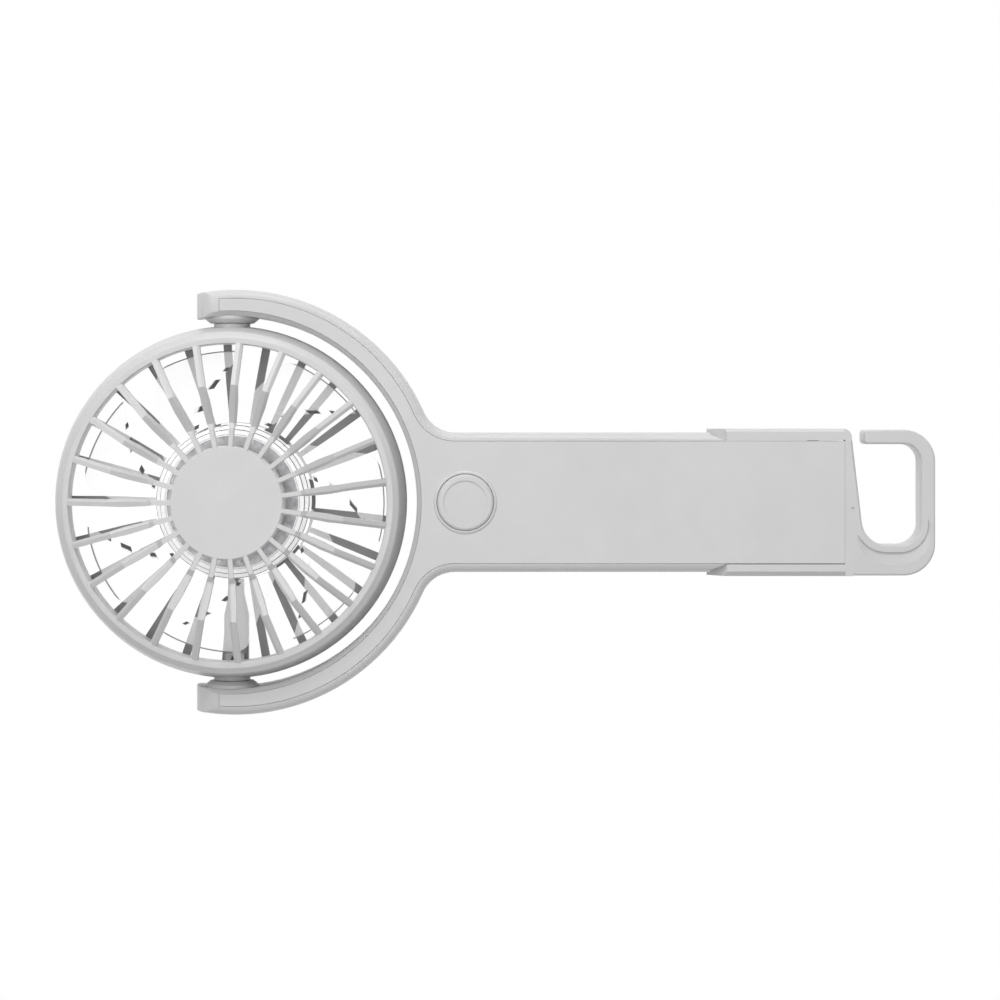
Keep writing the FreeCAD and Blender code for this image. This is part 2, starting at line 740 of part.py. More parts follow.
screws = []
for k, (x, y) in enumerate(CASE_SCREWS):
    whole = joined("case_screw_%d" % k, [rod("case_screw_head_%d" % k, (x, y, -6.3), 1.9, 1.4),
                                         rod("case_screw_shank_%d" % k, (x, y, -5.0), 1.0, 8.2)])
    screws.append(minus("case_screw_done_%d" % k, whole, cross("case_screw_slot_%d" % k, x, y, -6.3, 1.1, 0.7)))
node(group("casing_screws", screws))
screws = []
for k, (x, y) in enumerate(BOARD_SCREWS):
    screws.append(joined("board_screw_%d" % k, [rod("board_screw_head_%d" % k, (x, y, 1.8), 1.6, 1.0),
                                                rod("board_screw_shank_%d" % k, (x, y, -3.6), 0.8, 5.6)]))
node(group("board_screws", screws))

# ---------------------------------------------------------------- push button
button = new_body("power_button")
s = new_sketch(button, "XY_Plane", "cap_outline", 5.5)
circle(s, bx, 0, D("button_radius"))
f_cap = pad(button, s, D("button_top_z") - 5.5, "cap")
f_cap = round_edges(button, f_cap, lambda e, m: abs(m.z - VALUES["button_top_z"]) < 0.01, 0.75, "cap_round")
s = new_sketch(button, "XY_Plane", "dish_outline", D("button_top_z"))
circle(s, bx, 0, D("button_dish_radius"))
cut(button, s, 0.25, "dish")
s = new_sketch(button, "XY_Plane", "flange_outline", 5.5)
circle(s, bx, 0, 8.7)
pad(button, s, 0.72, "flange")
node(button)
node(group("switch_plunger", [rod("plunger", (bx, 0, 4.2), 1.65, 1.3)]))

# ---------------------------------------------------------------- front grille
PHASE = 7.5


def radial_section(b, name, r, deg, width, z_top, z_bottom, facet=None):
    """A rectangle across a spoke, on a plane square to the radius at this angle. facet: (width, height) taken off
    the top corner on the clockwise side."""
    s = b.newObject("Sketcher::SketchObject", name)
    s.AttachmentSupport = [(origin_feature(b, "YZ_Plane"), "")]
    s.MapMode = "FlatFace"
    a = math.radians(deg)
    r = q(r)
    s.AttachmentOffset = Placement(Vector(r.v * math.sin(a), 0, r.v * math.cos(a)), Rotation(Vector(0, 1, 0), deg))
    if "dims." in r.t:
        s.setExpression("AttachmentOffset.Base.x", "%s * %.6f" % (r.t, math.sin(a)))
        s.setExpression("AttachmentOffset.Base.z", "%s * %.6f" % (r.t, math.cos(a)))
    if facet is None:
        rectangle(s, q(width) / -2, z_bottom, q(width) / 2, z_top)
    else:
        w2 = q(width) / 2
        profile(s, [(-w2, z_bottom), (w2, z_bottom), (w2, z_top), (facet[0] - w2, z_top), (-w2, q(z_top) - facet[1])])
    return s


grille = new_body("front_grille")
s = new_sketch(grille, "XZ_Plane", "ring_section")
ro, ri, rz = D("rim_radius"), D("rim_inner_radius"), D("rim_front_z")
profile(s, [(ri, D("rim_depth")), (ri + 1.4, D("rim_depth")), (ri + 1.4, rz - 1.5), (ro, rz - 1.5),
            (ro, rz - 0.86), (ro - 0.72, rz - 0.42), (ri + 0.25, rz - 0.4), (ri, rz - 0.7)])
turn(grille, s, "ring")
hz, hr = D("hub_disc_z"), D("hub_disc_radius")
sw_ = D("spoke_width")
sections = [
    radial_section(grille, "spoke_a", hr - 1.5, PHASE, 1.3, hz - 0.05, hz - D("hub_disc_thick") + 0.05, (0.25, 0.2)),
    radial_section(grille, "spoke_b", 19.0, PHASE, 1.35, hz - 0.05, hz - 1.8, (0.25, 0.2)),
    radial_section(grille, "spoke_c", 20.4, PHASE, 1.8, 15.4, 13.3, (0.6, 0.45)),
    radial_section(grille, "spoke_d", 26.0, PHASE, 2.15, 17.8, 15.4, (0.75, 0.5)),
    radial_section(grille, "spoke_e", D("spoke_crest_radius"), PHASE, sw_, D("spoke_crest_z"),
                   D("spoke_crest_z") - 2.4, (0.7, 0.5)),
    radial_section(grille, "spoke_f", ri + 0.7, PHASE, sw_, D("spoke_end_z"), D("spoke_end_z") - 2.6, (0.7, 0.5)),
]
f_spoke = loft(grille, sections, "spoke")
s = new_sketch(grille, "XZ_Plane", "disc_section")
hb_ = hz - D("hub_disc_thick")
profile(s, [(0, hb_), (13.0, hb_), (13.0, D("hub_skirt_z")), (14.2, D("hub_skirt_z")), (14.2, hb_), (hr, hb_), (hr, hz - 0.5), (hr - 0.5, hz), (0, hz)])
turn(grille, s, "disc")
polar(grille, [f_spoke], D("spoke_count"), "spokes")
node(grille)

# ---------------------------------------------------------------- rear shell: housing, rear spokes, wire duct
shell = new_body("rear_shell")
s = new_sketch(shell, "XZ_Plane", "wall_section")
rr, rz2 = D("head_rear_radius"), D("head_rear_z")
bore = D("head_bore_radius")
seat = D("rim_seat_radius")
profile(s, [
    (seat, rz - 0.88), (D("head_lip_radius"), D("head_lip_z")), (D("head_radius"), D("head_wide_z")),
    (rr, rz2 + 1.0), (rr - 1.0, rz2), (bore, rz2),
    (bore, 10.2), (ri + 1.55, 11.4), (ri + 1.55, 11.95), (seat, 11.95)],
    {0: (3.0, False), 3: (1.0, False)})
turn(shell, s, "wall")
REAR_PHASE = 7.0
low = D("rear_lowest_z")
sections = [
    radial_section(shell, "rear_spoke_a", D("rear_hub_radius") - 0.9, REAR_PHASE, 1.3, low + 2.0, low + 0.45),
    radial_section(shell, "rear_spoke_b", 31.0, REAR_PHASE, 2.0, low + 1.9, low),
    radial_section(shell, "rear_spoke_c", 44.0, REAR_PHASE, 2.2, low + 2.8, low + 1.65),
]
f_spoke = loft(shell, sections, "rear_spoke")
s = new_sketch(shell, "XZ_Plane", "rear_hub_section")
rh = D("rear_hub_radius")
profile(s, [(0, low + 0.4), (rh - 0.5, low + 0.4), (rh, low + 0.9), (rh, low + 2.0), (6.2, low + 2.0), (6.2, low + 2.7),
            (5.02, low + 2.7), (5.02, low + 2.0), (0, low + 2.0)])
turn(shell, s, "rear_hub")
polar(shell, [f_spoke], D("rear_spoke_count"), "rear_spokes")
# collars round the pivot shafts
for side, tag in ((1, "upper"), (-1, "lower")):
    s = new_sketch(shell, "XZ_Plane", "neck_" + tag, -43.1 * side)
    circle(s, 0, 0, D("pivot_neck_radius"))
    pad(shell, s, D("neck_end") - 43.1, "neck_pad_" + tag, reverse=side > 0)
# wire duct from the motor to the wall, and up the wall to the lower pivot
s = new_sketch(shell, "XY_Plane", "duct_outline", D("head_rear_z"))
dw = D("duct_width") / 2
profile(s, [(-1.8, -18.6), (1.8, -18.6), (2.0, -24.5), (dw, -30.0), (dw, -43.8), (-dw, -43.8), (-dw, -30.0), (-2.0, -24.5)])
f_duct = pad(shell, s, 3.2, "duct")
top_z = VALUES["head_rear_z"] + 3.2
round_edges(shell, f_duct, lambda e, m: abs(m.z - top_z) < 0.01 and 1.5 < abs(m.x) < 4 and -43.7 < m.y < -18.7, 1.1,
            "duct_round")
s = new_sketch(shell, "XY_Plane", "riser_outline", D("head_rear_z") + 0.9)
rectangle(s, -2.2, -43.8, 2.2, -39.7)
pad(shell, s, -4.95 - D("head_rear_z") - 0.9, "riser")
s = new_sketch(shell, "XZ_Plane", "duct_bore_outline", 41.65)
circle(s, 0, -12.1, 0.75)
cut(shell, s, 24.5, "duct_bore")
s = new_sketch(shell, "XY_Plane", "riser_bore_outline", -4.6)
circle(s, 0, -40.9, 0.75)
cut(shell, s, 8.25, "riser_bore")
s = new_sketch(shell, "XZ_Plane", "neck_bore_upper_outline", -42)
circle(s, 0, 0, D("pivot_shaft_radius"))
cut(shell, s, 4.0, "neck_bore_upper")
s = new_sketch(shell, "XZ_Plane", "neck_bore_lower_outline", 46)
circle(s, 0, 0, D("pivot_shaft_radius"))
cut(shell, s, 4.0, "neck_bore_lower")
MOTOR_SCREWS = [(10.5 * math.cos(math.radians(d)), 10.5 * math.sin(math.radians(d))) for d in (30, 150, 270)]
s = new_sketch(shell, "XY_Plane", "motor_screw_holes", low + 2.0)
for x, y in MOTOR_SCREWS:
    circle(s, x, y, 0.92)
cut(shell, s, 1.1, "motor_screw_drill")
node(shell)


# ---------------------------------------------------------------- pivot shafts, washers and clips
def trunnion(side, label):
    b = new_body(label)
    s = new_sketch(b, "XY_Plane", label + "_section")
    sr = D("pivot_shaft_radius")
    profile(s, [(1.3, side * 41.9), (4.5, side * 41.9), (4.5, side * 43.1), (sr, side * 43.1),
                (sr, D("shaft_end") * side), (1.3, D("shaft_end") * side)])
    turn(b, s, label + "_turn")
    return b


node(trunnion(1, "upper_trunnion"))
node(trunnion(-1, "lower_trunnion"))


def ring_y(name, y0, y1, r_in, r_out):
    return minus(name, rod(name + "_outside", (0, y0, 0), r_out, y1 - y0, ALONG_Y),
                 rod(name + "_inside", (0, y0 - 1, 0), r_in, y1 - y0 + 2, ALONG_Y))


node(group("friction_washers", [ring_y("washer_upper", 49.65, 49.95, 3.05, 4.2),
                                ring_y("washer_lower", -49.95, -49.65, 3.05, 4.2)]))
node(group("tilt_retainers", [ring_y("retainer_upper", 50.0, 50.4, 3.0, 4.3),
                              ring_y("retainer_lower", -50.4, -50.0, 3.0, 4.3)]))


# ---------------------------------------------------------------- motor
def ring_z(name, z0, z1, r_in, r_out):
    return minus(name, rod(name + "_outside", (0, 0, z0), r_out, z1 - z0),
                 rod(name + "_inside", (0, 0, z0 - 1), r_in, z1 - z0 + 2))


ms = D("motor_shaft_radius")
node(ring_z("bearing_tube", -13.4, -3.0, 4.0, 5.0))
node(group("motor_bearings", [ring_z("bearing_upper", -5.6, -3.0, ms + 0.02, 4.0),
                              ring_z("bearing_lower", -11.6, -9.0, ms + 0.02, 4.0)]))

core = new_body("stator_core")
s = new_sketch(core, "XY_Plane", "core_ring", -8.5)
circle(s, 0, 0, 8.0)
circle(s, 0, 0, 5.0)
pad(core, s, 4.5, "core_ring_pad")
s = new_sketch(core, "XY_Plane", "tooth_outline", -8.5)
tw = 1.2
th = 4.0
head_x = math.sqrt(15.6 ** 2 - th ** 2)
profile(s, [(7.6, -tw), (13.4, -tw), (14.3, -th), (head_x, -th), (head_x, th), (14.3, th), (13.4, tw), (7.6, tw)],
        {3: (15.6, True)})
f_tooth = pad(core, s, 4.5, "tooth")
polar(core, [f_tooth], 9, "teeth")
node(core)

wind = new_body("stator_windings")
s = new_sketch(wind, "XY_Plane", "winding_ring", -9.9)
circle(s, 0, 0, 12.2)
circle(s, 0, 0, 8.8)
pad(wind, s, 0.9, "winding_ring_pad")
s = new_sketch(wind, "XY_Plane", "coil_outline", -9.5)
rectangle(s, 8.3, -2.35, 13.1, 2.35)
f_coil = pad(wind, s, 6.4, "coil_pad")
polar(wind, [f_coil], 9, "coils")
s = new_sketch(wind, "XY_Plane", "coil_inside", -3.95)
rectangle(s, 8.1, -1.22, 13.3, 1.22)
f_slot = cut(wind, s, 4.6, "coil_slot")
polar(wind, [f_slot], 9, "coil_slots")
node(wind)

mboard = new_body("motor_board")
s = new_sketch(mboard, "XY_Plane", "motor_board_outline", -12.6)
circle(s, 0, 0, 17.0)
circle(s, 0, 0, 6.4)
for x, y in MOTOR_SCREWS:
    circle(s, x, y, 1.0)
pad(mboard, s, 1.0, "motor_board_plate")
node(mboard)
screws = []
for k, (x, y) in enumerate(MOTOR_SCREWS):
    screws.append(joined("motor_screw_%d" % k, [rod("motor_screw_head_%d" % k, (x, y, -11.6), 1.7, 0.9),
                                                rod("motor_screw_shank_%d" % k, (x, y, -14.3), 0.9, 2.9)]))
node(group("motor_screws", screws))

hlead = new_body("motor_lead_head")
s_path = new_sketch(hlead, "YZ_Plane", "head_lead_path")
profile(s_path, [(-50.5, 0), (-41.9, 0), (-40.9, -1.0), (-40.9, -11.1), (-39.9, -12.1), (-17.0, -12.1)],
        {1: (1.0, False), 3: (1.0, True)}, closed=False)
s_ring = new_sketch(hlead, "XZ_Plane", "head_lead_section", 50.5)
circle(s_ring, 0, 0, 0.5)
pipe(hlead, s_path, s_ring, "head_lead_pipe")
node(hlead)

cup = new_body("rotor_cup")
s = new_sketch(cup, "XZ_Plane", "cup_section")
profile(s, [(ms, -2.7), (3.2, -2.7), (3.2, -1.6), (17.6, -1.6), (17.6, -9.6), (18.4, -9.6), (18.4, -0.8), (ms, -0.8)])
turn(cup, s, "cup_turn")
node(cup)
node(ring_z("ring_magnet", -9.0, -2.4, 16.1, 17.6))
node(group("motor_shaft", [rod("shaft", (0, 0, -12.7), ms, 11.9)]))
node(ring_z("shaft_clip", -12.3, -11.9, ms, 2.8))

# ---------------------------------------------------------------- impeller
hub = new_body("impeller_hub")
s = new_sketch(hub, "XZ_Plane", "hub_section")
hr2, hd, hub_open = D("rotor_hub_radius"), D("rotor_hub_depth"), D("hub_opening_radius")
profile(s, [(hub_open, -0.8), (18.42, -0.8), (18.42, -hd), (hr2, -hd), (hr2, -1.9), (hr2 - 0.5, -1.1), (hr2 - 1.3, -0.7),
            (hr2 - 1.3, 0), (hub_open, 0)], {4: (1.2, True)})
turn(hub, s, "hub_turn")

tip = VALUES["blade_tip_radius"]
inner_r = VALUES["rotor_hub_radius"] - 0.6
thick = VALUES["blade_thick"]


def edge_curve(points):
    c = Part.BSplineCurve()
    c.interpolate([Vector(r * math.cos(math.radians(d)), r * math.sin(math.radians(d)), z) for r, d, z in points])
    return c.toShape()


rear_edge = edge_curve([(18.0, 177.0, -8.3), (23.2, 167.3, -8.3), (28.8, 156.5, -8.1), (35.0, 145.2, -7.6),
                        (38.5, 140.6, -7.3), (41.5, 137.1, -7.1)])
front_edge = edge_curve([(18.0, 205.5, -0.6), (20.2, 201.3, -0.65), (24.4, 191.4, -0.9), (29.3, 181.6, -1.1),
                         (36.0, 174.6, -1.3), (41.5, 170.5, -1.5)])
sheet = Part.makeRuledSurface(rear_edge, front_edge)
# the rear edge is cut on the slant, so that it faces outwards and forwards
blade = sheet.extrude(Vector(0.74, 0.34, -thick))
if blade.ShapeType != "Solid":
    blade = Part.Solid(blade) if blade.ShapeType == "Shell" else blade
ring = Part.makeCylinder(tip, 20, Vector(0, 0, -15)).cut(Part.makeCylinder(inner_r, 20, Vector(0, 0, -15)))
blade = blade.common(ring)
# the trailing corner of the tip is rounded
flat_edge = edge_curve([(24.4, 191.4, 0), (29.3, 181.6, 0), (36.0, 174.6, 0), (41.5, 170.5, 0)])
TIP_ROUND = 5.0
lo_a, hi_a = 150.0, 176.0
for _ in range(40):
    mid_a = (lo_a + hi_a) / 2
    c_mid = Vector((tip - TIP_ROUND) * math.cos(math.radians(mid_a)), (tip - TIP_ROUND) * math.sin(math.radians(mid_a)), 0)
    if Part.Vertex(c_mid).distToShape(flat_edge)[0] > TIP_ROUND:
        lo_a = mid_a
    else:
        hi_a = mid_a
near = Part.Vertex(c_mid).distToShape(flat_edge)[1][0][1]
out_edge = (near - c_mid).normalize()
out_tip = Vector(c_mid).normalize()
outline = [c_mid, c_mid + out_edge * 9, c_mid + (out_edge + out_tip).normalize() * 14, c_mid + out_tip * 9, c_mid]
wedge = Part.Face(Part.makePolygon(outline)).extrude(Vector(0, 0, 30)).translated(Vector(0, 0, -15))
wedge = wedge.cut(Part.makeCylinder(TIP_ROUND, 40, Vector(c_mid.x, c_mid.y, -20)))
blade = blade.cut(wedge)
count = int(VALUES["blade_count"])
blades = []
for k in range(count):
    one = blade.copy()
    one.rotate(Vector(0, 0, 0), Vector(0, 0, 1), 360.0 * k / count)
    blades.append(one)
whole = hub.Shape.fuse(blades)
impeller = doc.addObject("Part::Feature", "impeller")
impeller.Shape = whole
node(impeller, "impeller")

# ---------------------------------------------------------------- folding stand with the hook
stand = new_body("stand_bracket")
sw, sa = D("stand_half_width"), D("stand_arm_inner")
TIP_R = 27.4
for side, tag in ((1, "upper"), (-1, "lower")):
    s = new_sketch(stand, "XZ_Plane", "arm_side_" + tag, -(sw * side) if side > 0 else sw)
    tx = math.sqrt(TIP_R ** 2 - 7.5 ** 2)
    bxk = root(T * T - 6.25)
    end = [] if side > 0 else [(159.3, -2.5), (159.3, T)]
    arm = [(px - tx, -T), (px, -T), (px + bxk, -2.5)] + (end or [(px + bxk, T)]) + [(127.1, T), (px - TIP_R, 0)]
    profile(s, arm, {1: (T, True), len(arm) - 1: (TIP_R, True)})
    if side > 0:
        f_arm = pad(stand, s, sw - sa, "arm_" + tag)
        # the block and the hook join the arms
        hb = D("hook_back_z")
        s2 = new_sketch(stand, "XY_Plane", "hook_outline", hb)
        hx = D("hook_end_x")
        bar = D("hook_bar")
        bl = D("stand_block_x")
        profile(s2, [
            (bl, -18.7), (hx - 8.1, -18.7), (hx, -10.6), (hx, 10.5), (hx - 8.1, 18.6), (163.1, 18.6), (162.1, 17.6),
            (162.1, 15.9), (163.1, 14.9), (hx - 8.1, 14.9), (hx - bar, 10.5), (hx - bar, -5.57), (hx - bar - 5.3, -10.87),
            (168.0, -10.87), (161.55, -5.13), (159.0, 16.6), (156.75, 18.85), (152.0, 18.85), (152.0, 16.0), (bl, 16.0)],
            {1: (8.1, True), 3: (8.1, True), 5: (1.0, True), 7: (1.0, True), 9: (4.4, False), 11: (5.3, False),
             13: (6.5, False), 15: (2.25, True)})
        pad(stand, s2, T - hb, "hook")
        s2 = new_sketch(stand, "XY_Plane", "block_lip_outline", T - 1.5)
        rectangle(s2, D("stand_lip_x"), -16.4, bl + 0.5, 16.4)
        pad(stand, s2, 1.5, "block_lip")
    else:
        f_arm = pad(stand, s, sw - sa, "arm_" + tag, reverse=True)
# the hook's edges are rounded
hook_top = stand.Tip


def hook_edge(e, m):
    return (abs(abs(m.z) - T.v) < 0.01 and m.z > 0 and m.x > 161.0
            and e.BoundBox.ZLength < 0.01)


round_edges(stand, hook_top, hook_edge, 0.55, "hook_rounding")
# inner corner of each arm's free end, a cone about the hinge
for side, tag in ((1, "upper"), (-1, "lower")):
    s = new_sketch(stand, "XY_Plane", "arm_tip_" + tag, 0, px)
    profile(s, [(-23.0, side * 15.4), (-27.4, side * 17.36), (-30.0, side * 17.36), (-30.0, side * 15.4)])
    groove(stand, s, "arm_tip_cut_" + tag, angle=180.0, middle=True)
    s = new_sketch(stand, "YZ_Plane", "arm_bevel_" + tag, 157.3)
    bw = 0.8 if side > 0 else 1.2
    profile(s, [(side * (sw - bw), T), (side * (sw + 0.5), T), (side * (sw + 0.5), T - 1.0), (side * sw, T - 1.0)])
    cut(stand, s, 40, "arm_bevel_cut_" + tag)
    s = new_sketch(stand, "XZ_Plane", "pin_hole_" + tag, -15.0 if side > 0 else 20.0)
    circle(s, px, 0, D("stand_pin_radius"))
    cut(stand, s, 5.0, "pin_hole_cut_" + tag)
    s = new_sketch(stand, "XZ_Plane", "pin_seat_" + tag, -17.7 if side > 0 else 20.0)
    circle(s, px, 0, 2.6)
    cut(stand, s, 2.3, "pin_seat_cut_" + tag)


def scoop_band(name, z, d_in, d_out, d_end, a_from, a_to, r_right, r_left):
    s = new_sketch(stand, "XY_Plane", name, z)
    a_l = math.radians(a_from)
    lx, ly, lr = 168.0, -4.37, 6.5
    rx, ry, r2 = 171.3, -5.57, 5.3

    def pl(d):
        return (lx + (lr + d) * math.cos(a_l), ly + (lr + d) * math.sin(a_l))

    a_r = math.radians(a_to)

    def pr(d):
        return (rx + (r2 + d) * math.cos(a_r), ry + (r2 + d) * math.sin(a_r))

    profile(s, [pl(d_in), (lx, ly - lr - d_in), (rx, ry - r2 - d_in), pr(d_in), pr(d_end), (rx, ry - r2 - d_out),
                (lx, ly - lr - d_out), pl(d_end)],
            {0: (lr + d_in, True), 2: (r2 + d_in, True), 4: (r_right, False), 6: (r_left, False)})
    return s


before = stand.Shape.Volume
s_hi = scoop_band("scoop_top", T + 0.02, 1.84, 5.2, 2.1, 207, 10, 8.2, 7.65)
s_lo = scoop_band("scoop_low", T - 0.5, 1.84, 2.0, 1.92, 222, -6, 7.25, 8.45)
f = stand.newObject("PartDesign::SubtractiveLoft", "scoop")
f.Profile = s_hi
f.Sections = [s_lo]
f.Ruled = True
stand.Tip = f
doc.recompute()
if not stand.Shape.Volume < before - 1e-4:
    raise RuntimeError("the scoop takes nothing away")
s = new_sketch(stand, "XY_Plane", "dimple_outline", T)
circle(s, 159.27, -1.6, 0.45)
cut(stand, s, 0.3, "dimple")
node(stand)

pins = []
for side, tag in ((1, "upper"), (-1, "lower")):
    lo, hi = (12.5, 17.8) if side > 0 else (-17.8, -12.5)
    h0, h1 = (17.7, 18.6) if side > 0 else (-18.6, -17.7)
    pins.append(joined("stand_pin_" + tag, [rod("pin_shank_" + tag, (px, lo, 0), D("stand_pin_radius"), hi - lo, ALONG_Y),
                                            rod("pin_head_" + tag, (px, h0, 0), 2.55, h1 - h0, ALONG_Y)]))
node(group("stand_pins", pins))

# ---------------------------------------------------------------- placing, checking and writing
doc.recompute()
shift = Vector(-(VALUES["hook_end_x"] - VALUES["head_radius"]) / 2, 0, -VALUES["rear_lowest_z"])
for n_ in NODES:
    n_.Placement = Placement(shift, Rotation())
    n_.setExpression("Placement.Base.x", "(dims.head_radius - dims.hook_end_x) / 2")
    n_.setExpression("Placement.Base.z", "0 - dims.rear_lowest_z")
doc.recompute()
for o in doc.Objects:
    if "Invalid" in o.State or "Error" in o.State:
        raise RuntimeError("%s is not valid" % o.Label)
for n_ in NODES:
    if n_.Shape.isNull() or not n_.Shape.isValid() or not n_.Shape.Solids:
        raise RuntimeError("%s has no sound solid" % n_.Label)
os.makedirs("parts", exist_ok=True)
for n_ in NODES:
    n_.Shape.exportStep("parts/%s.step" % n_.Label)
    bb = n_.Shape.BoundBox
    print("%-20s solids %2d volume %9.1f x %7.2f %7.2f y %7.2f %7.2f z %6.2f %6.2f" % (
        n_.Label, len(n_.Shape.Solids), n_.Shape.Volume, bb.XMin, bb.XMax, bb.YMin, bb.YMax, bb.ZMin, bb.ZMax))
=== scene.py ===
import bpy
import math
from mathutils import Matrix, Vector

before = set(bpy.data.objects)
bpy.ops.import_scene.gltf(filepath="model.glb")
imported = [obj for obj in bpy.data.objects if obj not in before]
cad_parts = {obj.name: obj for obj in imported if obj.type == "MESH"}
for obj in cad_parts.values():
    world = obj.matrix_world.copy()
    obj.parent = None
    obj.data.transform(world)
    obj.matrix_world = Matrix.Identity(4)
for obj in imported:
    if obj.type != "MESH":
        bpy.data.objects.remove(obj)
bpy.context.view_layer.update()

scene = bpy.context.scene

# ---------------------------------------------------------------- camera: straight above the fan
SHIFT_X = -0.06755            # the tilt axis in the row's frame
SHIFT_Z = 0.0154
cam_data = bpy.data.cameras.new("camera")
cam = bpy.data.objects.new("camera", cam_data)
scene.collection.objects.link(cam)
cam.location = (0.07036 + SHIFT_X, 0.0185, 0.7575 + SHIFT_Z)
cam.rotation_euler = (0.0, 0.0, 0.0)
cam_data.sensor_width = 36.0
cam_data.lens = 18.0 / (0.2554 * 500.0 / 750.0)
cam_data.shift_x = -0.005
cam_data.shift_y = -0.07
cam_data.clip_start = 0.05
cam_data.clip_end = 10.0
scene.camera = cam

scene.view_settings.view_transform = "Standard"
scene.view_settings.look = "None"
scene.view_settings.exposure = 0.0
scene.view_settings.gamma = 1.0


# ---------------------------------------------------------------- node helpers
class Mat:
    """A node material, written as short calls."""

    def __init__(self, name):
        self.m = bpy.data.materials.new(name)
        self.m.use_nodes = True
        self.t = self.m.node_tree
        self.t.nodes.clear()
        self.out = self.t.nodes.new("ShaderNodeOutputMaterial")
        self.coord = self.t.nodes.new("ShaderNodeTexCoord")

    def node(self, kind, **props):
        n = self.t.nodes.new(kind)
        for k, v in props.items():
            setattr(n, k, v)
        return n

    def link(self, a, b):
        self.t.links.new(a, b)

    def noise(self, scale, detail=3.0, rough=0.5, stretch=None):
        src = self.coord.outputs["Object"]
        if stretch:
            mp = self.node("ShaderNodeMapping")
            mp.inputs["Scale"].default_value = stretch
            self.link(src, mp.inputs["Vector"])
            src = mp.outputs["Vector"]
        n = self.node("ShaderNodeTexNoise")
        n.inputs["Scale"].default_value = scale
        n.inputs["Detail"].default_value = detail
        n.inputs["Roughness"].default_value = rough
        self.link(src, n.inputs["Vector"])
        return n.outputs["Fac"]

    def voronoi(self, scale):
        n = self.node("ShaderNodeTexVoronoi")
        n.inputs["Scale"].default_value = scale
        self.link(self.coord.outputs["Object"], n.inputs["Vector"])
        return n.outputs["Distance"]

    def ramp(self, fac, lo, hi, a=0.3, b=0.7):
        r = self.node("ShaderNodeValToRGB")
        r.color_ramp.elements[0].position = a
        r.color_ramp.elements[1].position = b
        r.color_ramp.elements[0].color = (*lo, 1.0)
        r.color_ramp.elements[1].color = (*hi, 1.0)
        self.link(fac, r.inputs["Fac"])
        return r.outputs["Color"]

    def span(self, fac, lo, hi, a=0.3, b=0.7):
        r = self.node("ShaderNodeMapRange")
        r.inputs["From Min"].default_value = a
        r.inputs["From Max"].default_value = b
        r.inputs["To Min"].default_value = lo
        r.inputs["To Max"].default_value = hi
        self.link(fac, r.inputs["Value"])
        return r.outputs["Result"]

    def bump(self, height, strength, distance, normal=None):
        b = self.node("ShaderNodeBump")
        b.inputs["Strength"].default_value = strength
        b.inputs["Distance"].default_value = distance
        self.link(height, b.inputs["Height"])
        if normal is not None:
            self.link(normal, b.inputs["Normal"])
        return b.outputs["Normal"]

    def principled(self, **values):
        p = self.node("ShaderNodeBsdfPrincipled")
        for k, v in values.items():
            p.inputs[k.replace("_", " ")].default_value = v
        self.link(p.outputs["BSDF"], self.out.inputs["Surface"])
        return p


def moulded_plastic(name, grey, rough=0.36, spread=0.012, grain=2600.0, grain_depth=0.00002, tint=(1.0, 1.0, 1.0),
                    shade=None):
    """Satin moulded plastic: slow tone drift, fine spark-eroded grain, faint handling marks in the gloss."""
    m = Mat(name)
    p = m.principled(IOR=1.5)
    lo = tuple(c * (grey - spread) for c in tint)
    hi = tuple(c * (grey + spread) for c in tint)
    colour = m.ramp(m.noise(38.0, 4.0, 0.55), lo, hi, 0.32, 0.68)
    m.link(shade(m, colour) if shade else colour, p.inputs["Base Color"])
    m.link(m.span(m.noise(160.0, 5.0, 0.6), rough - 0.05, rough + 0.06, 0.3, 0.7), p.inputs["Roughness"])
    m.link(m.bump(m.noise(grain, 2.0, 0.5), 0.35, grain_depth), p.inputs["Normal"])
    return m.m


def painted_shade_inside(m, colour):
    """Painted shade: the upward-facing inner faces of the rear grille and the wire duct, below about 6 mm in the
    piece's own coordinates, are painted darker than the outside.
    """
    sep = m.node("ShaderNodeSeparateXYZ")
    m.link(m.coord.outputs["Object"], sep.inputs["Vector"])
    nsep = m.node("ShaderNodeSeparateXYZ")
    m.link(m.coord.outputs["Normal"], nsep.inputs["Vector"])
    low = m.span(sep.outputs["Z"], 1.0, 0.0, 0.0056, 0.0062)
    up = m.span(nsep.outputs["Z"], 0.0, 1.0, -0.1, 0.1)
    both = m.node("ShaderNodeMath", operation="MULTIPLY")
    m.link(low, both.inputs[0])
    m.link(up, both.inputs[1])
    mix = m.node("ShaderNodeMix", data_type="RGBA", blend_type="MULTIPLY")
    m.link(both.outputs["Value"], mix.inputs["Factor"])
    m.link(colour, mix.inputs["A"])
    mix.inputs["B"].default_value = (REAR_PAINTED_SHADE, REAR_PAINTED_SHADE, REAR_PAINTED_SHADE, 1.0)
    return mix.outputs["Result"]


# painted shade: the tone that multiplies the colour of those inner faces
REAR_PAINTED_SHADE = 0.42


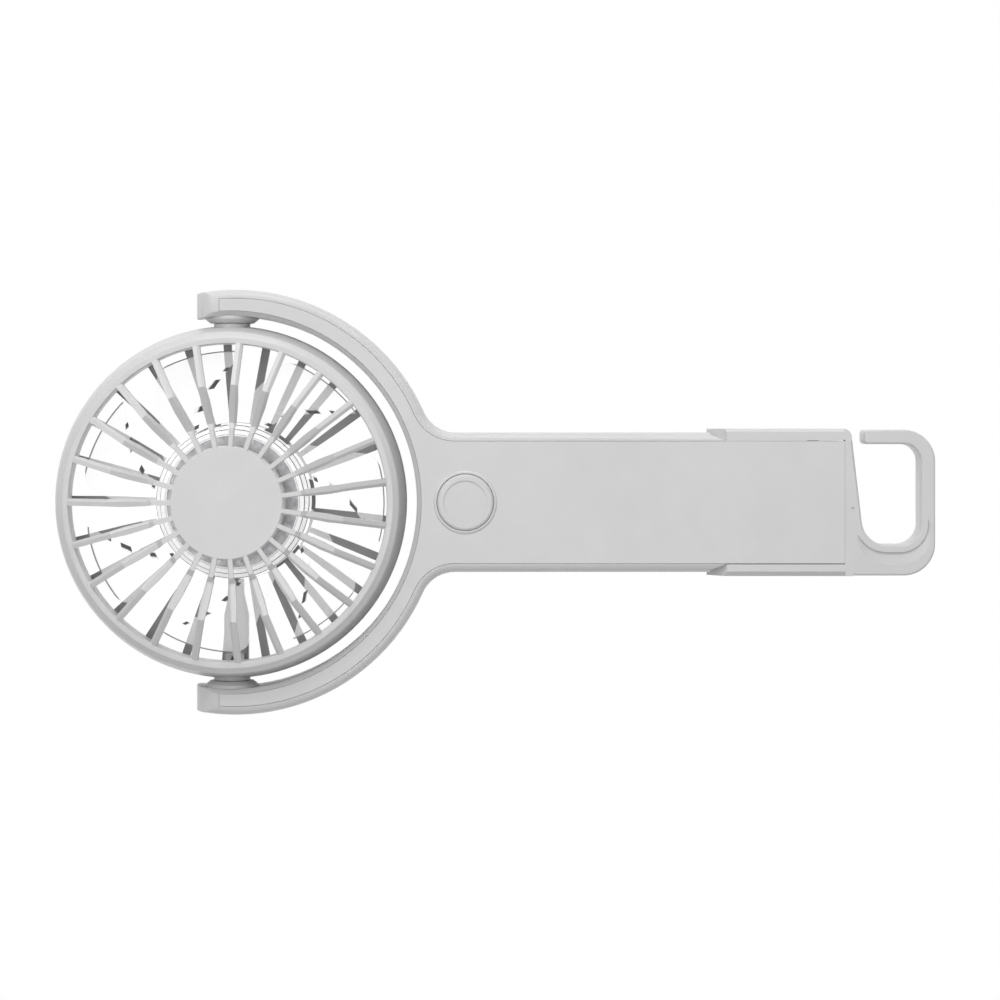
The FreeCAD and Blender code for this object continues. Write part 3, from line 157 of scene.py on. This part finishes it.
def white_blades(name):
    """Clear, faintly milky blades on a hub ring of thicker, whiter plastic. Both glow with painted light
    (emission). Painted shade draws dark dashes on the blades' steep rear-edge faces, dark blade tips and fine
    dark rings at the hub's edges.
    """
    m = Mat(name)
    # distance from the hub's axis, in the piece's own coordinates
    sep = m.node("ShaderNodeSeparateXYZ")
    m.link(m.coord.outputs["Object"], sep.inputs["Vector"])
    dx = m.node("ShaderNodeMath", operation="SUBTRACT")
    dx.inputs[1].default_value = SHIFT_X
    m.link(sep.outputs["X"], dx.inputs[0])
    flat = m.node("ShaderNodeCombineXYZ")
    m.link(dx.outputs["Value"], flat.inputs["X"])
    m.link(sep.outputs["Y"], flat.inputs["Y"])
    dist = m.node("ShaderNodeVectorMath", operation="LENGTH")
    m.link(flat.outputs["Vector"], dist.inputs[0])
    blade = m.span(dist.outputs["Value"], 0.0, 1.0, 0.0199, 0.0205)
    # painted shade: steep faces low on each blade are painted dark in dashes at listed radii along its rear edge
    nsep = m.node("ShaderNodeSeparateXYZ")
    m.link(m.coord.outputs["Normal"], nsep.inputs["Vector"])
    up = m.node("ShaderNodeMath", operation="ABSOLUTE")
    m.link(nsep.outputs["Z"], up.inputs[0])
    level = m.node("ShaderNodeMath", operation="MAXIMUM")
    m.link(m.span(up.outputs["Value"], 0.0, 1.0, 0.6, 0.7), level.inputs[0])
    m.link(m.span(sep.outputs["Z"], 0.0, 1.0, 0.0105, 0.0115), level.inputs[1])
    along = m.span(dist.outputs["Value"], 0.0, 1.0, 0.020, 0.040)
    shade_dashes = m.node("ShaderNodeValToRGB")
    shade_dashes.color_ramp.interpolation = "CONSTANT"
    while len(shade_dashes.color_ramp.elements) > 1:
        shade_dashes.color_ramp.elements.remove(shade_dashes.color_ramp.elements[0])
    shade_dashes.color_ramp.elements[0].position = 0.0
    shade_dashes.color_ramp.elements[0].color = (1.0, 1.0, 1.0, 1.0)
    for lo, hi in EDGE_SHADE_DASHES:
        for r, v in ((lo, 0.0), (hi, 1.0)):
            stop = shade_dashes.color_ramp.elements.new((r - 20.0) / 20.0)
            stop.color = (v, v, v, 1.0)
    m.link(along, shade_dashes.inputs["Fac"])
    unshaded = m.node("ShaderNodeMath", operation="MAXIMUM")
    m.link(level.outputs["Value"], unshaded.inputs[0])
    m.link(shade_dashes.outputs["Color"], unshaded.inputs[1])
    # painted shade: the blade tips beyond about 38.8 mm from the axis are painted dark
    tip_shade = m.node("ShaderNodeMath", operation="MINIMUM")
    m.link(unshaded.outputs["Value"], tip_shade.inputs[0])
    m.link(m.span(dist.outputs["Value"], 1.0, 0.15, 0.03875, 0.03885), tip_shade.inputs[1])
    unshaded = tip_shade
    both = m.node("ShaderNodeMath", operation="MULTIPLY")
    m.link(blade, both.inputs[0])
    m.link(unshaded.outputs["Value"], both.inputs[1])
    # painted shade: fine dark rings in the hub ring at the hub's and cup's edges
    hub_shade_rings = m.node("ShaderNodeValToRGB")
    hub_shade_rings.color_ramp.interpolation = "LINEAR"
    stops = hub_shade_rings.color_ramp.elements
    stops[0].position = 0.0
    stops[0].color = (1.0, 1.0, 1.0, 1.0)
    stops[1].position = 1.0
    stops[1].color = (1.0, 1.0, 1.0, 1.0)
    for r, tone in HUB_SHADE_RINGS:
        for d, v in ((-0.14, 1.0), (-0.07, tone), (0.07, tone), (0.14, 1.0)):
            stop = stops.new((r + d - 16.0) / 6.0)
            stop.color = (v, v, v, 1.0)
    m.link(m.span(dist.outputs["Value"], 0.0, 1.0, 0.016, 0.022), hub_shade_rings.inputs["Fac"])
    lit = m.node("ShaderNodeMath", operation="MULTIPLY")
    m.link(unshaded.outputs["Value"], lit.inputs[0])
    m.link(hub_shade_rings.outputs["Color"], lit.inputs[1])
    # painted glow: the blades and the hub ring emit light, the hub less, and the painted dark marks less still
    painted_glow = m.node("ShaderNodeMath", operation="MULTIPLY")
    m.link(m.span(blade, HUB_PAINTED_GLOW, BLADE_PAINTED_GLOW, 0.0, 1.0), painted_glow.inputs[0])
    m.link(lit.outputs["Value"], painted_glow.inputs[1])
    p = m.node("ShaderNodeBsdfPrincipled")
    p.inputs["IOR"].default_value = 1.46
    p.inputs["Emission Color"].default_value = (1.0, 1.0, 1.0, 1.0)
    # painted shade: the painted dark marks take this dark colour
    colour = m.node("ShaderNodeMix", data_type="RGBA")
    m.link(unshaded.outputs["Value"], colour.inputs["Factor"])
    colour.inputs["A"].default_value = (0.12, 0.12, 0.12, 1.0)
    # painted shade: the base colour is multiplied by the dark hub rings
    shaded_base = m.node("ShaderNodeMix", data_type="RGBA", blend_type="MULTIPLY")
    shaded_base.inputs["Factor"].default_value = 1.0
    m.link(m.ramp(m.noise(45.0, 3.0), (0.93, 0.93, 0.93), (0.97, 0.97, 0.97)), shaded_base.inputs["A"])
    m.link(hub_shade_rings.outputs["Color"], shaded_base.inputs["B"])
    m.link(shaded_base.outputs["Result"], colour.inputs["B"])
    m.link(colour.outputs["Result"], p.inputs["Base Color"])
    m.link(painted_glow.outputs["Value"], p.inputs["Emission Strength"])
    m.link(m.span(m.noise(120.0, 4.0), 0.3, 0.4), p.inputs["Roughness"])
    m.link(m.bump(m.noise(900.0, 2.0), 0.15, 0.00002), p.inputs["Normal"])
    t = m.node("ShaderNodeBsdfTransparent")
    t.inputs["Color"].default_value = (1.0, 1.0, 1.0, 1.0)
    mix = m.node("ShaderNodeMixShader")
    m.link(m.span(both.outputs["Value"], 0.0, BLADE_CLEAR, 0.0, 1.0), mix.inputs["Fac"])
    m.link(p.outputs["BSDF"], mix.inputs[1])
    m.link(t.outputs["BSDF"], mix.inputs[2])
    m.link(mix.outputs["Shader"], m.out.inputs["Surface"])
    return m.m


# painted shade: radii in mm where the blades' steep rear-edge faces are painted dark
EDGE_SHADE_DASHES = ((21.2, 22.1), (25.0, 26.3), (29.8, 31.9), (33.9, 34.8))
# painted shade: radius in mm and tone of each dark ring on the hub
HUB_SHADE_RINGS = ((17.35, 0.5), (18.6, 0.2), (19.75, 0.2))
# painted glow strengths of the hub ring and of the blades
HUB_PAINTED_GLOW = 0.35
BLADE_PAINTED_GLOW = 0.45
BLADE_CLEAR = 0.78


def metal(name, lo, hi, rough, stretch=(1.0, 1.0, 1.0), scale=400.0, depth=0.00001):
    m = Mat(name)
    p = m.principled(Metallic=1.0)
    m.link(m.ramp(m.noise(scale, 4.0, 0.6, stretch), lo, hi), p.inputs["Base Color"])
    m.link(m.span(m.noise(scale * 1.7, 3.0, 0.5, stretch), rough - 0.07, rough + 0.1), p.inputs["Roughness"])
    m.link(m.bump(m.noise(scale * 3, 2.0, 0.5, stretch), 0.3, depth), p.inputs["Normal"])
    return m.m


def board(name):
    """Solder resist over copper runs, with the runs just showing."""
    m = Mat(name)
    p = m.principled()
    runs = m.voronoi(420.0)
    m.link(m.ramp(runs, (0.015, 0.12, 0.045), (0.03, 0.21, 0.085), 0.15, 0.4), p.inputs["Base Color"])
    m.link(m.span(m.noise(700.0), 0.28, 0.4), p.inputs["Roughness"])
    m.link(m.bump(runs, 0.3, 0.00003), p.inputs["Normal"])
    return m.m


def soft(name, lo, hi, rough, scale=900.0, depth=0.00004):
    m = Mat(name)
    p = m.principled()
    m.link(m.ramp(m.noise(scale * 0.3, 4.0), lo, hi), p.inputs["Base Color"])
    m.link(m.span(m.noise(scale, 3.0), rough - 0.08, rough + 0.08), p.inputs["Roughness"])
    m.link(m.bump(m.noise(scale * 2, 3.0), 0.4, depth), p.inputs["Normal"])
    return m.m


BODY = 0.60
plastic = moulded_plastic("casing_plastic", BODY)
grille_plastic = moulded_plastic("grille_plastic", BODY, rough=0.32, grain=2200.0)
stand_plastic = moulded_plastic("stand_plastic", BODY - 0.005, rough=0.38)
button_plastic = moulded_plastic("button_plastic", BODY - 0.01, rough=0.36, grain=3200.0)
bush_plastic = moulded_plastic("bush_plastic", BODY - 0.04, rough=0.34)
MATERIALS = {
    "rear_casing": plastic,
    "front_cover": moulded_plastic("cover_plastic", BODY + 0.005, rough=0.38, grain=2800.0),
    "front_grille": grille_plastic,
    "rear_shell": moulded_plastic("shell_plastic_painted_shade", BODY - 0.005, rough=0.4, shade=painted_shade_inside),
    "stand_bracket": stand_plastic,
    "power_button": button_plastic,
    "pivot_bushes": bush_plastic,
    "upper_trunnion": bush_plastic,
    "lower_trunnion": bush_plastic,
    "impeller": white_blades("impeller_plastic_painted_glow"),
    "main_board": board("board_resist"),
    "motor_board": board("motor_board_resist"),
    "board_components": soft("component_resin", (0.015, 0.015, 0.016), (0.035, 0.035, 0.036), 0.45),
    "tact_switch": soft("switch_resin", (0.02, 0.02, 0.02), (0.04, 0.04, 0.04), 0.5),
    "switch_plunger": soft("plunger_resin", (0.3, 0.3, 0.3), (0.36, 0.36, 0.36), 0.4),
    "usb_c_socket": metal("socket_steel", (0.55, 0.55, 0.56), (0.68, 0.68, 0.69), 0.3),
    "battery_cell": metal("cell_foil", (0.55, 0.56, 0.6), (0.7, 0.71, 0.74), 0.42, scale=260.0, depth=0.00004),
    "battery_foam_pad": soft("foam", (0.05, 0.05, 0.05), (0.1, 0.1, 0.1), 0.9, scale=1400.0, depth=0.0001),
    "battery_leads": soft("lead_red", (0.3, 0.015, 0.012), (0.42, 0.03, 0.02), 0.45),
    "motor_lead_handle": soft("lead_black", (0.015, 0.015, 0.015), (0.035, 0.035, 0.035), 0.5),
    "motor_lead_head": soft("lead_black_head", (0.015, 0.015, 0.015), (0.035, 0.035, 0.035), 0.5),
    "casing_screws": metal("screw_steel", (0.42, 0.42, 0.43), (0.62, 0.62, 0.63), 0.34, (1.0, 1.0, 6.0)),
    "board_screws": metal("small_screw_steel", (0.45, 0.45, 0.45), (0.6, 0.6, 0.6), 0.35),
    "motor_screws": metal("motor_screw_steel", (0.45, 0.45, 0.45), (0.6, 0.6, 0.6), 0.35),
    "friction_washers": metal("washer_steel", (0.5, 0.5, 0.5), (0.65, 0.65, 0.65), 0.4),
    "tilt_retainers": metal("retainer_steel", (0.35, 0.35, 0.36), (0.5, 0.5, 0.5), 0.38),
    "bearing_tube": metal("tube_brass", (0.62, 0.45, 0.2), (0.78, 0.6, 0.3), 0.3),
    "motor_bearings": metal("bearing_steel", (0.5, 0.5, 0.52), (0.7, 0.7, 0.72), 0.22),
    "stator_core": metal("lamination_steel", (0.2, 0.2, 0.21), (0.34, 0.34, 0.35), 0.45, (1.0, 1.0, 30.0), 120.0),
    "stator_windings": metal("winding_copper", (0.5, 0.2, 0.08), (0.72, 0.32, 0.14), 0.3, (1.0, 1.0, 8.0), 700.0, 0.00006),
    "rotor_cup": metal("cup_steel", (0.4, 0.4, 0.41), (0.52, 0.52, 0.53), 0.42),
    "ring_magnet": soft("magnet_ferrite", (0.05, 0.05, 0.052), (0.1, 0.1, 0.1), 0.6),
    "motor_shaft": metal("shaft_steel", (0.6, 0.6, 0.62), (0.75, 0.75, 0.77), 0.18),
    "shaft_clip": metal("clip_steel", (0.35, 0.35, 0.36), (0.5, 0.5, 0.5), 0.4),
    "stand_pins": metal("pin_steel", (0.5, 0.5, 0.5), (0.66, 0.66, 0.66), 0.3),
}

# ---------------------------------------------------------------- finish on the CAD pieces
BEVELS = {
    "rear_casing": (0.00022, 3, 35), "front_cover": (0.00035, 3, 50), "stand_bracket": (0.0005, 4, 40),
    "power_button": (0.00015, 3, 30), "front_grille": (0.0002, 3, 24), "rear_shell": (0.00025, 3, 35),
    "impeller": (0.0003, 2, 50), "pivot_bushes": (0.0002, 3, 35), "usb_c_socket": (0.00012, 2, 40),
    "battery_cell": (0.0006, 3, 50), "board_components": (0.00012, 2, 40), "tact_switch": (0.0002, 2, 40),
    "main_board": (0.00008, 2, 40), "motor_board": (0.00008, 2, 40), "casing_screws": (0.00012, 2, 40),
    "board_screws": (0.00012, 2, 40), "motor_screws": (0.00012, 2, 40), "stand_pins": (0.0002, 3, 40),
    "rotor_cup": (0.0002, 3, 40), "stator_core": (0.0001, 2, 40), "stator_windings": (0.0005, 3, 40),
    "upper_trunnion": (0.00012, 2, 40), "lower_trunnion": (0.00012, 2, 40),
}
for name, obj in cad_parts.items():
    mat = MATERIALS[name]
    obj.data.materials.clear()
    obj.data.materials.append(mat)
    if name in BEVELS:
        width, segments, angle = BEVELS[name]
        weld = obj.modifiers.new("weld", "WELD")
        weld.merge_threshold = 0.000002
        bev = obj.modifiers.new("edges", "BEVEL")
        bev.width = width
        bev.segments = segments
        bev.limit_method = "ANGLE"
        bev.angle_limit = math.radians(angle)
        bev.use_clamp_overlap = True
        bev.harden_normals = True
        bev.miter_outer = "MITER_ARC"
        # painted shade: the bevelled edges of the impeller get a dark material
        if name == "impeller":
            obj.data.materials.append(soft("impeller_edge_shade", (0.1, 0.1, 0.1), (0.16, 0.16, 0.16), 0.4))
            bev.material = 1

# ---------------------------------------------------------------- floor
bpy.ops.mesh.primitive_plane_add(size=6.0, location=(0.0, 0.0, -0.036))
floor = bpy.context.active_object
floor.name = "floor"
fm = Mat("floor_white")
e = fm.node("ShaderNodeEmission")
e.inputs["Strength"].default_value = 1.0
fm.link(fm.ramp(fm.noise(3.0), (0.998, 0.998, 0.998), (1.0, 1.0, 1.0)), e.inputs["Color"])
fm.link(e.outputs["Emission"], fm.out.inputs["Surface"])
floor.data.materials.append(fm.m)

# ---------------------------------------------------------------- light
world = bpy.data.worlds.new("studio")
scene.world = world
world.use_nodes = True
world.node_tree.nodes["Background"].inputs["Color"].default_value = (1.0, 1.0, 1.0, 1.0)
world.node_tree.nodes["Background"].inputs["Strength"].default_value = 0.18


def softbox(name, location, target, size, size_y, power):
    data = bpy.data.lights.new(name, "AREA")
    data.shape = "RECTANGLE"
    data.size = size
    data.size_y = size_y
    data.energy = power
    obj = bpy.data.objects.new(name, data)
    scene.collection.objects.link(obj)
    obj.location = location
    obj.rotation_euler = (Vector(target) - Vector(location)).to_track_quat("-Z", "Y").to_euler()
    return obj


softbox("above", (0.0, 0.0, 1.6), (0.0, 0.0, 0.02), 0.8, 0.8, 6.1)
softbox("side_top", (0.0, 1.04, 0.6), (0.0, 0.0, 0.02), 0.7, 0.5, 5.0)
softbox("side_top_left", (-0.735, 0.735, 0.6), (0.0, 0.0, 0.02), 0.7, 0.5, 2.3)
softbox("side_top_right", (0.735, 0.735, 0.6), (0.0, 0.0, 0.02), 0.7, 0.5, 2.2)
softbox("high_top_left", (-0.45, 0.45, 1.018), (0.0, 0.0, 0.02), 0.7, 0.5, 3.5)
softbox("side_low", (0.0, -1.04, 0.6), (0.0, 0.0, 0.02), 0.7, 0.5, 1.9)
